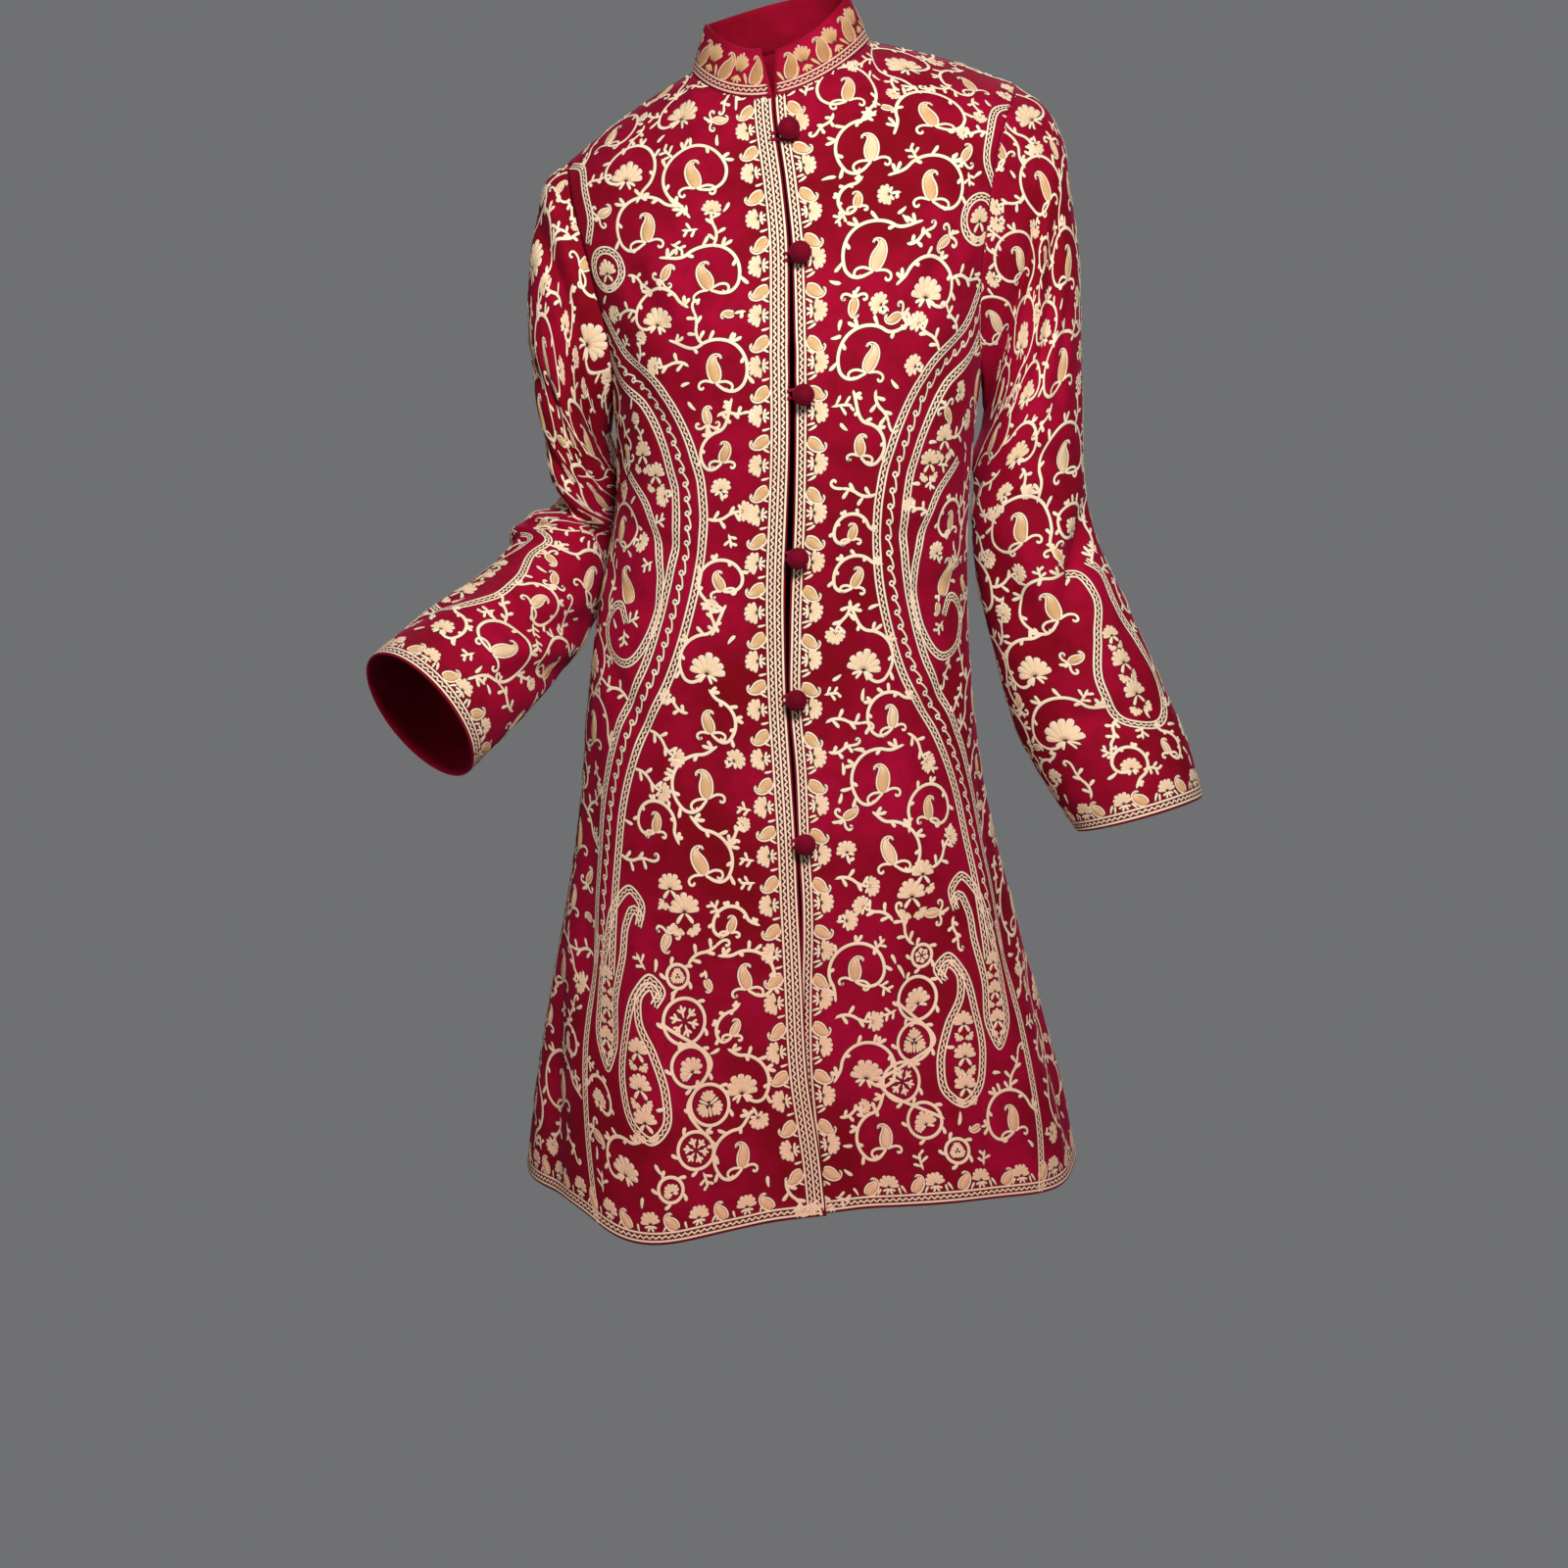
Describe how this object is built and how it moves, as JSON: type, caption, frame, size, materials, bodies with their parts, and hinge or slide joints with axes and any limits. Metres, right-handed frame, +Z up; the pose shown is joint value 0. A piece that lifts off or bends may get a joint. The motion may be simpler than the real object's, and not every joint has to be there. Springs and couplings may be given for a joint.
{
  "type": "jacket",
  "caption": "Long embroidered jacket of crimson wool with a stand collar, ball buttons, cord loops and flared sleeves, hollow and posed as worn, in Central and South Asian style",
  "frame": {"origin": "The middle of the neck, level with the points where the shoulder seams meet the collar, where the wearer's neck and shoulders hold the jacket up", "axes": "+Z up, -Y the way the wearer faces, +X towards the wearer's left"},
  "size_m": [0.726, 0.3695, 1.0516],
  "materials": {
    "crimson_cloth": "soft brushed wool with chain-stitch embroidery",
    "button_cloth": "velvety cloth drawn over a ball",
    "loop_cord": "round cloth cord"
  },
  "bodies": {
    "root": {"front_right": "crimson_cloth", "front_left": "crimson_cloth", "back": "crimson_cloth", "sleeve_right": "crimson_cloth", "sleeve_left": "crimson_cloth", "collar": "crimson_cloth", "button_1": "button_cloth", "button_2": "button_cloth", "button_3": "button_cloth", "button_4": "button_cloth", "button_5": "button_cloth", "button_6": "button_cloth", "loop_1": "loop_cord", "loop_2": "loop_cord", "loop_3": "loop_cord", "loop_4": "loop_cord", "loop_5": "loop_cord", "loop_6": "loop_cord"}
  },
  "joints": []
}
